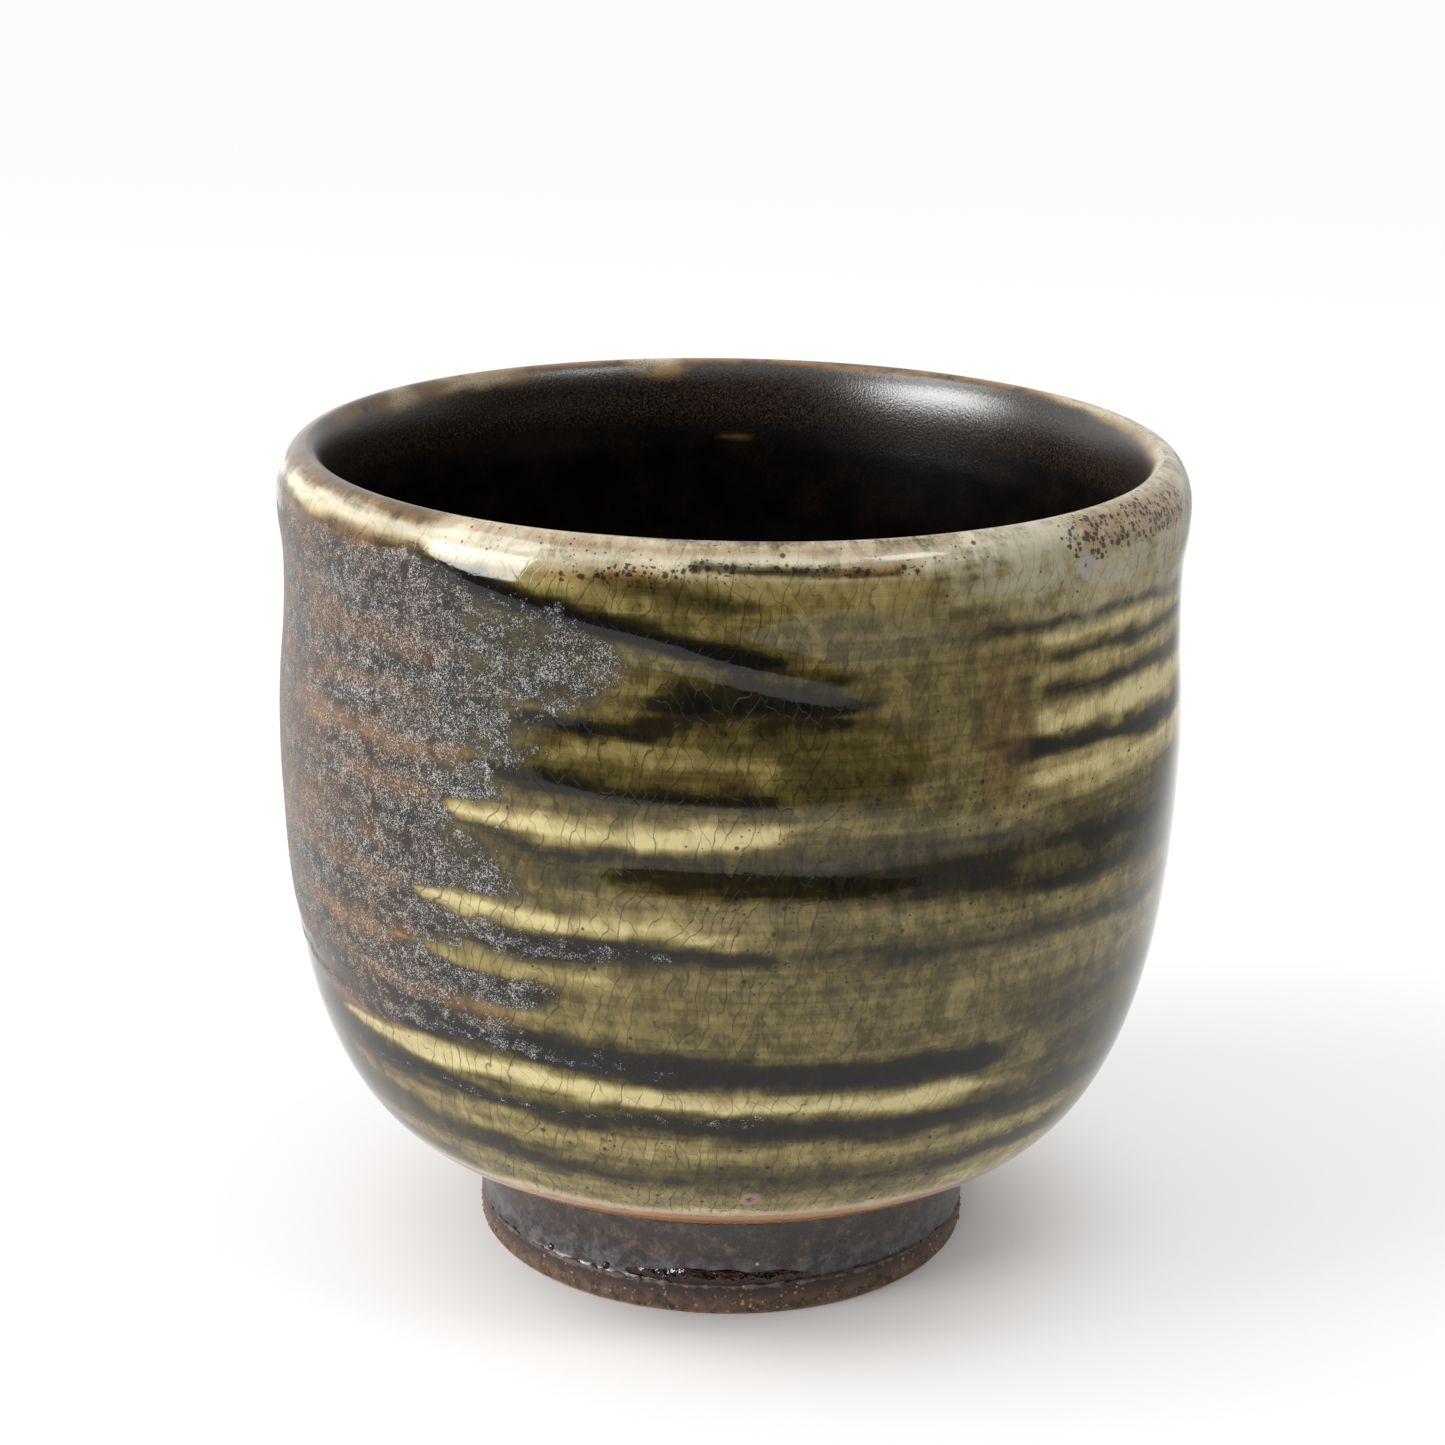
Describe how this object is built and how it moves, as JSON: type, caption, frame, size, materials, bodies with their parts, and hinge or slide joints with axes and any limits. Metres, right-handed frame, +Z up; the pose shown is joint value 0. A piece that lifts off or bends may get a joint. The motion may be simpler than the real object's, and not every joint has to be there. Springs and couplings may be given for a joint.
{
  "type": "footed cup",
  "caption": "Handleless stoneware tea cup with a rounded bowl on a turned foot ring, brushed slip under an ash glaze, and a dark iron liner.",
  "frame": {"origin": "centre of the ring-shaped face that the foot stands on", "axes": "+Z up along the axis that the cup was thrown on; the cup is round, so +X and +Y only fix the brush marks, with the pictured side towards -Y"},
  "size_m": [0.0906, 0.0906, 0.083],
  "materials": {
    "bare_clay": "toasted bare stoneware, matt and sandy",
    "foot_clay": "iron-stained stoneware, semi-matt with sandy grains",
    "white_slip": "matt brushed slip, seen only through the glaze",
    "ash_glaze": "glossy crackled olive ash glaze over brushed slip stripes",
    "iron_liner": "near-black iron glaze, satin gloss",
    "iron_wash": "thin dark iron wash, semi-gloss where it pools"
  },
  "bodies": {
    "root": {"clay_bowl": "bare_clay", "foot_ring": "foot_clay", "slip_coat": "white_slip", "outer_glaze": "ash_glaze", "inner_glaze": "iron_liner", "iron_wash": "iron_wash"}
  },
  "joints": []
}
